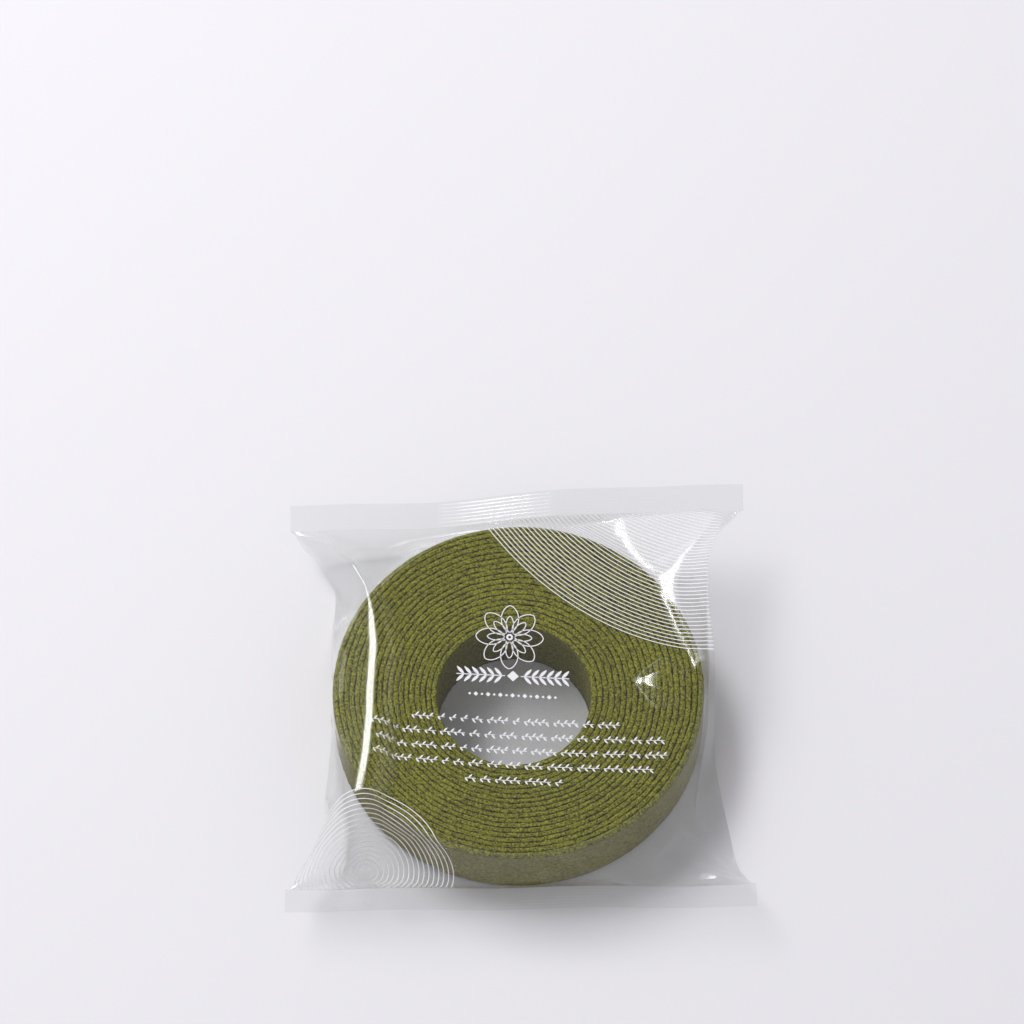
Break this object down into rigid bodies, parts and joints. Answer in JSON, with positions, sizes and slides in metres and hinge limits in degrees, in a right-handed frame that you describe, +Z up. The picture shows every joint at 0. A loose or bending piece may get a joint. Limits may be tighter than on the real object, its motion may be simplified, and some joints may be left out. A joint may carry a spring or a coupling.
{
  "type": "matcha baumkuchen in a sealed clear film bag",
  "caption": "Flat green ring cake of thin baked layers, sealed in a crinkled clear film pillow bag with fine white line ornament.",
  "frame": {"origin": "on the surface it lies on, under the middle of the ring cake", "axes": "+Z up out of the ring's cut face, +Y from the front weld to the back weld, +X to the right across the bag"},
  "size_m": [0.188, 0.184, 0.0399],
  "materials": {
    "film": "glossy clear film",
    "cake": "dull moist crumb in thin baked layers",
    "print": "white ink lines on the film"
  },
  "bodies": {
    "root": {"clear_bag": "film"}
  },
  "joints": []
}
